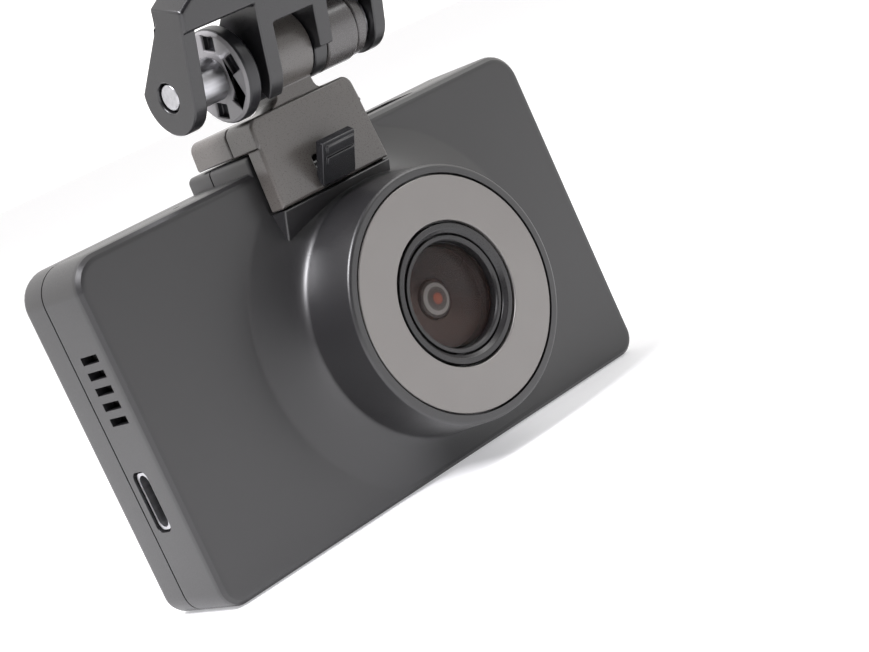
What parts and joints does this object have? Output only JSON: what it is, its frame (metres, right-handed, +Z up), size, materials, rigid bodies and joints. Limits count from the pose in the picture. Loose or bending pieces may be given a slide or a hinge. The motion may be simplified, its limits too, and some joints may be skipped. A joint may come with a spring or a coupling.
{
  "type": "dash camera",
  "caption": "Slab-shaped dash camera with a large round lens barrel, rear display and keys, on a clip-on cradle with a friction hinge, arm and adhesive windscreen base.",
  "frame": {"origin": "centre of the flat bottom face of the case", "axes": "the lens looks along -Y, +X is to the right of someone facing the lens, +Z is up"},
  "size_m": [0.0925, 0.0538, 0.1099],
  "materials": {
    "casing": "fine satin texture",
    "keys": "fine satin texture",
    "ring": "anodised grey, fine blasted",
    "lens_black": "smooth black",
    "lens_glass": "coated",
    "screen": "glossy, tinted nearly black",
    "panel": "black",
    "light_pipe": "clear, frosted",
    "cradle": "smooth satin",
    "lever": "semi-gloss",
    "sleeve": "satin black",
    "wheel": "satin",
    "arm": "fine satin texture",
    "pad": "foam tape",
    "steel": "plated",
    "battery_foil": "foil pouch",
    "circuit_board": "solder mask",
    "chip": "moulded"
  },
  "bodies": {
    "camera": {"front_shell": "casing", "rear_shell": "casing", "trim_ring": "ring", "lens_bezel": "lens_black", "retaining_ring": "lens_black", "lens_tube": "lens_black", "light_baffle": "lens_black", "front_lens": "lens_glass", "inner_lens": "lens_glass", "rear_lens": "lens_glass", "infrared_filter": "lens_glass", "display_window": "screen", "display_panel": "panel", "status_light": "light_pipe", "case_screw_1": "steel", "case_screw_2": "steel", "case_screw_3": "steel", "case_screw_4": "steel", "board_screw_1": "steel", "board_screw_2": "steel", "heat_spreader": "steel", "microphone": "steel", "inlet_socket": "steel", "card_socket": "steel", "buffer_battery": "battery_foil", "main_board": "circuit_board", "sensor_board": "circuit_board", "key_board": "circuit_board", "processor": "chip", "image_sensor": "chip", "speaker": "chip", "power_switch": "chip", "inlet_tongue": "chip"},
    "power_button": {"power_button": "keys"},
    "menu_key": {"menu_key": "keys"},
    "up_key": {"up_key": "keys"},
    "down_key": {"down_key": "keys"},
    "confirm_key": {"confirm_key": "keys"},
    "memory_card": {"memory_card": "chip"},
    "cradle": {"cradle_front": "cradle", "cradle_back": "cradle", "cradle_screw_1": "steel", "cradle_screw_2": "steel", "release_pin": "steel", "release_spring": "steel"},
    "release_lever": {"release_lever": "lever"},
    "arm": {"arm": "arm", "arm_cover": "arm", "hinge_sleeve": "sleeve", "left_sleeve": "wheel", "hinge_washer": "sleeve", "spring_washer": "steel", "wheel_spacer": "steel", "hinge_bolt": "steel"},
    "thumbwheel": {"thumbwheel": "wheel"},
    "base": {"windscreen_base": "arm", "adhesive_pad": "pad", "swivel_washer": "steel", "swivel_screw": "steel"}
  },
  "joints": [
    {"name": "cradle_slide", "type": "slide", "parent": "camera", "child": "cradle", "axis": [0, 0, 1], "range_m": [0, 0.012]},
    {"name": "release_press", "type": "hinge", "parent": "cradle", "child": "release_lever", "pos_m": [0, -0.01025, 0.0515], "axis": [-1, 0, 0], "range_deg": [0, 18], "stiffness_Nm_per_rad": 0.06},
    {"name": "hinge_tilt", "type": "hinge", "parent": "cradle", "child": "arm", "pos_m": [0, -0.0095, 0.0694], "axis": [1, 0, 0], "range_deg": [-75, 8]},
    {"name": "wheel_turn", "type": "hinge", "parent": "arm", "child": "thumbwheel", "pos_m": [0, -0.0095, 0.0694], "axis": [-1, 0, 0], "range_deg": [0, 270]},
    {"name": "base_swivel", "type": "hinge", "parent": "arm", "child": "base", "pos_m": [0, -0.02216, 0.09346], "axis": [0, -0.3584, 0.9336], "range_deg": [-60, 60]},
    {"name": "power_press", "type": "slide", "parent": "camera", "child": "power_button", "axis": [0, 0, -1], "range_m": [0, 0.0004], "stiffness_N_per_m": 2000},
    {"name": "card_slide", "type": "slide", "parent": "camera", "child": "memory_card", "axis": [1, 0, 0], "range_m": [0, 0.012]},
    {"name": "menu_press", "type": "slide", "parent": "camera", "child": "menu_key", "axis": [0, -1, 0], "range_m": [0, 0.0005], "stiffness_N_per_m": 1500},
    {"name": "up_press", "type": "slide", "parent": "camera", "child": "up_key", "axis": [0, -1, 0], "range_m": [0, 0.0005], "stiffness_N_per_m": 1500},
    {"name": "down_press", "type": "slide", "parent": "camera", "child": "down_key", "axis": [0, -1, 0], "range_m": [0, 0.0005], "stiffness_N_per_m": 1500},
    {"name": "confirm_press", "type": "slide", "parent": "camera", "child": "confirm_key", "axis": [0, -1, 0], "range_m": [0, 0.0005], "stiffness_N_per_m": 1500}
  ]
}
